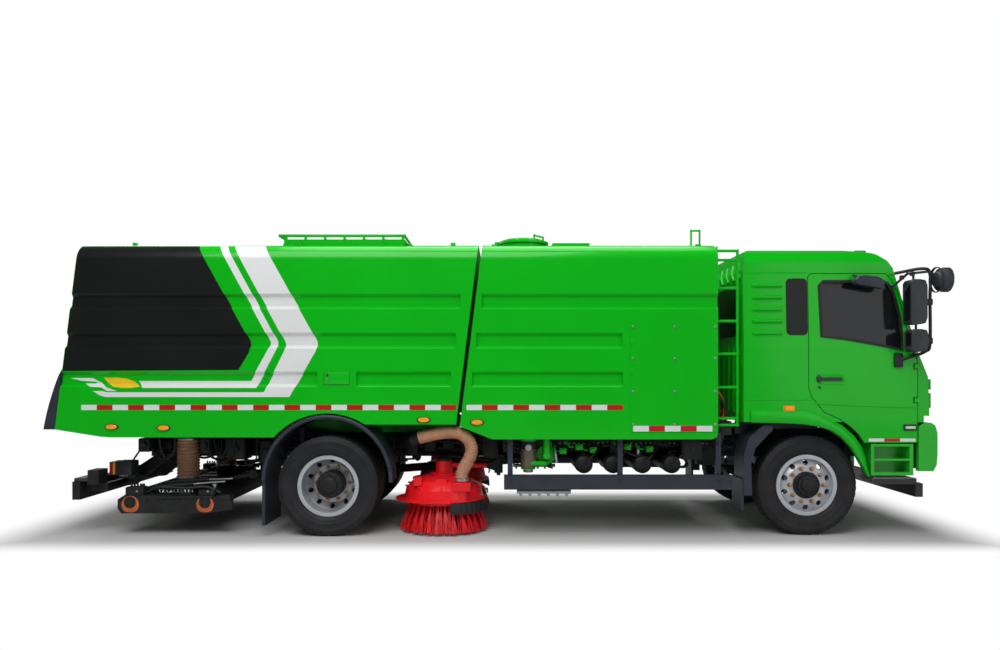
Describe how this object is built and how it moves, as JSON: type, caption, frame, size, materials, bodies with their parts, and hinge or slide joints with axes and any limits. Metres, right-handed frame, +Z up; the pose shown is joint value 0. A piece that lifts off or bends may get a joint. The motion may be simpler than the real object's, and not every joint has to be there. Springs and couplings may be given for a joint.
{
  "type": "street sweeper truck",
  "caption": "Electric street sweeper truck with tilting cab, tipping hopper, water tank, side brushes and a trailing suction nozzle.",
  "frame": {"origin": "centre of the bounding box footprint, on the ground", "axes": "+X forward, +Y to the left side of the truck, +Z up"},
  "size_m": [8.658, 3.064, 3.0345],
  "materials": {
    "green_paint": "gloss",
    "dark_frame": "satin",
    "slate_paint": "satin",
    "dark_plastic": "matte",
    "silver_steel": "brushed",
    "tyre_rubber": "matte",
    "tinted_glass": "gloss",
    "red_paint": "gloss",
    "bristle_plastic": "matte",
    "brown_hose": "matte",
    "orange_roller": "matte",
    "seat_fabric": "matte",
    "battery_case": "satin"
  },
  "bodies": {
    "chassis": {"chassis_frame": "dark_frame", "front_axle_beam": "dark_frame", "rear_axle_housing": "dark_frame", "leaf_springs": "dark_frame", "drive_motor": "silver_steel", "air_tanks": "dark_frame", "side_guards": "slate_paint", "rear_underrun_guard": "dark_frame", "wheel_fenders": "dark_plastic", "front_bumper": "green_paint", "cab_steps": "green_paint", "water_tank": "green_paint", "access_panels": "green_paint", "battery_pack": "battery_case", "climbing_ladder": "green_paint", "control_box": "silver_steel", "water_pump": "silver_steel", "brush_hoses": "brown_hose", "nozzle_hose": "brown_hose", "suction_pipes": "silver_steel"},
    "cab": {"cab_shell": "green_paint", "cab_glass": "tinted_glass", "seats": "seat_fabric", "dashboard": "dark_plastic", "steering_wheel": "dark_plastic"},
    "hopper": {"hopper_shell": "green_paint"},
    "tailgate": {"rear_door": "slate_paint"},
    "loading_lid": {"hopper_lid": "green_paint"},
    "manhole_lid": {"tank_lid": "green_paint"},
    "tip_cylinder_barrels": {"tip_barrels": "dark_frame"},
    "tip_cylinder_rods": {"tip_rods": "silver_steel"},
    "track_rod": {"tie_rod": "dark_frame"},
    "lifting_arms": {"nozzle_arms": "dark_frame"},
    "nozzle": {"suction_nozzle": "dark_frame"},
    "front_roller": {"roller_front": "orange_roller"},
    "rear_roller": {"roller_rear": "orange_roller"},
    "cab_door_left": {"door_left": "green_paint", "door_glass_left": "tinted_glass", "mirrors_left": "dark_plastic"},
    "steering_knuckle_left": {"knuckle_left": "dark_frame"},
    "front_wheel_left": {"front_rim_left": "silver_steel", "front_tyre_left": "tyre_rubber"},
    "rear_wheels_left": {"rear_rims_left": "silver_steel", "rear_tyres_left": "tyre_rubber"},
    "brush_bracket_left": {"brush_swing_left": "dark_frame"},
    "brush_arm_left": {"brush_head_left": "red_paint"},
    "brush_left": {"brush_disc_left": "bristle_plastic"},
    "cab_door_right": {"door_right": "green_paint", "door_glass_right": "tinted_glass", "mirrors_right": "dark_plastic"},
    "steering_knuckle_right": {"knuckle_right": "dark_frame"},
    "front_wheel_right": {"front_rim_right": "silver_steel", "front_tyre_right": "tyre_rubber"},
    "rear_wheels_right": {"rear_rims_right": "silver_steel", "rear_tyres_right": "tyre_rubber"},
    "brush_bracket_right": {"brush_swing_right": "dark_frame"},
    "brush_arm_right": {"brush_head_right": "red_paint"},
    "brush_right": {"brush_disc_right": "bristle_plastic"}
  },
  "joints": [
    {"name": "cab_tilt", "type": "hinge", "parent": "chassis", "child": "cab", "pos_m": [4.18, 0, 1.15], "axis": [0, 1, 0], "range_deg": [0, 40]},
    {"name": "door_left_open", "type": "hinge", "parent": "cab", "child": "cab_door_left", "pos_m": [4.118, 1.219, 1.5], "axis": [0, 0, -1], "range_deg": [0, 70]},
    {"name": "door_right_open", "type": "hinge", "parent": "cab", "child": "cab_door_right", "pos_m": [4.118, -1.219, 1.5], "axis": [0, 0, 1], "range_deg": [0, 70]},
    {"name": "hopper_tip", "type": "hinge", "parent": "chassis", "child": "hopper", "pos_m": [-3.6, 0, 0.92], "axis": [0, -1, 0], "range_deg": [0, 45]},
    {"name": "tailgate_open", "type": "hinge", "parent": "hopper", "child": "tailgate", "pos_m": [-4.05, 0, 2.8], "axis": [0, 1, 0], "range_deg": [0, 80]},
    {"name": "loading_lid_open", "type": "hinge", "parent": "hopper", "child": "loading_lid", "pos_m": [-1.5, -1.092, 2.863], "axis": [1, 0, 0], "range_deg": [0, 100]},
    {"name": "manhole_lid_open", "type": "hinge", "parent": "chassis", "child": "manhole_lid", "pos_m": [0.046, -0.7, 2.924], "axis": [0, -1, 0], "range_deg": [0, 110]},
    {"name": "cylinder_swing", "type": "hinge", "parent": "chassis", "child": "tip_cylinder_barrels", "pos_m": [-1.35, 0, 0.87], "axis": [0, 1, 0], "range_deg": [0, 24.29]},
    {"name": "cylinder_extend", "type": "slide", "parent": "tip_cylinder_barrels", "child": "tip_cylinder_rods", "axis": [-0.9871, 0, 0.1598], "range_m": [0, 0.7185]},
    {"name": "steer_left", "type": "hinge", "parent": "chassis", "child": "steering_knuckle_left", "pos_m": [3.095, 0.9, 0.49], "axis": [0, 0, 1], "range_deg": [-38, 38]},
    {"name": "steer_right", "type": "hinge", "parent": "chassis", "child": "steering_knuckle_right", "pos_m": [3.095, -0.9, 0.49], "axis": [0, 0, 1], "range_deg": [-38, 38]},
    {"name": "track_rod_pivot", "type": "hinge", "parent": "steering_knuckle_left", "child": "track_rod", "pos_m": [2.905, 0.9, 0.379], "axis": [0, 0, 1], "range_deg": [-38, 38]},
    {"name": "front_wheel_left_spin", "type": "hinge", "parent": "steering_knuckle_left", "child": "front_wheel_left", "pos_m": [3.095, 1.02, 0.49], "axis": [0, 1, 0], "continuous": true},
    {"name": "front_wheel_right_spin", "type": "hinge", "parent": "steering_knuckle_right", "child": "front_wheel_right", "pos_m": [3.095, -1.02, 0.49], "axis": [0, 1, 0], "continuous": true},
    {"name": "rear_wheels_left_spin", "type": "hinge", "parent": "chassis", "child": "rear_wheels_left", "pos_m": [-1.605, 0.9275, 0.49], "axis": [0, 1, 0], "continuous": true},
    {"name": "rear_wheels_right_spin", "type": "hinge", "parent": "chassis", "child": "rear_wheels_right", "pos_m": [-1.605, -0.9275, 0.49], "axis": [0, 1, 0], "continuous": true},
    {"name": "brush_left_swing", "type": "hinge", "parent": "chassis", "child": "brush_bracket_left", "pos_m": [0.06, 0.72, 0.64], "axis": [0, 0, -1], "range_deg": [0, 33], "deforming": ["brush_hoses"]},
    {"name": "brush_left_lift", "type": "hinge", "parent": "brush_bracket_left", "child": "brush_arm_left", "pos_m": [-0.03, 0.72, 0.64], "axis": [0, 1, 0], "range_deg": [0, 15], "deforming": ["brush_hoses"]},
    {"name": "brush_left_spin", "type": "hinge", "parent": "brush_arm_left", "child": "brush_left", "pos_m": [-0.5, 0.8, 0.4], "axis": [0, 0, 1], "continuous": true},
    {"name": "brush_right_swing", "type": "hinge", "parent": "chassis", "child": "brush_bracket_right", "pos_m": [0.06, -0.72, 0.64], "axis": [0, 0, 1], "range_deg": [0, 33], "deforming": ["brush_hoses"]},
    {"name": "brush_right_lift", "type": "hinge", "parent": "brush_bracket_right", "child": "brush_arm_right", "pos_m": [-0.03, -0.72, 0.64], "axis": [0, 1, 0], "range_deg": [0, 15], "deforming": ["brush_hoses"]},
    {"name": "brush_right_spin", "type": "hinge", "parent": "brush_arm_right", "child": "brush_right", "pos_m": [-0.5, -0.8, 0.4], "axis": [0, 0, 1], "continuous": true},
    {"name": "nozzle_lower", "type": "hinge", "parent": "chassis", "child": "lifting_arms", "pos_m": [-2.45, 0, 0.56], "axis": [0, -1, 0], "range_deg": [0, 18.5], "deforming": ["nozzle_hose"]},
    {"name": "nozzle_level", "type": "hinge", "parent": "lifting_arms", "child": "nozzle", "pos_m": [-3.1, 0, 0.44], "axis": [0, -1, 0], "range_deg": [-18.5, 0]},
    {"name": "front_roller_spin", "type": "hinge", "parent": "nozzle", "child": "front_roller", "pos_m": [-2.83, 0, 0.323], "axis": [0, 1, 0], "continuous": true},
    {"name": "rear_roller_spin", "type": "hinge", "parent": "nozzle", "child": "rear_roller", "pos_m": [-3.567, 0, 0.323], "axis": [0, 1, 0], "continuous": true}
  ],
  "couplings": [
    {"joint": "steer_right", "follows": "steer_left", "ratio": 1},
    {"joint": "track_rod_pivot", "follows": "steer_left", "ratio": -1},
    {"joint": "cylinder_swing", "follows": "hopper_tip", "ratio": 0.53978},
    {"joint": "cylinder_extend", "follows": "hopper_tip", "m_per_rad": 0.91482},
    {"joint": "nozzle_level", "follows": "nozzle_lower", "ratio": -1}
  ]
}
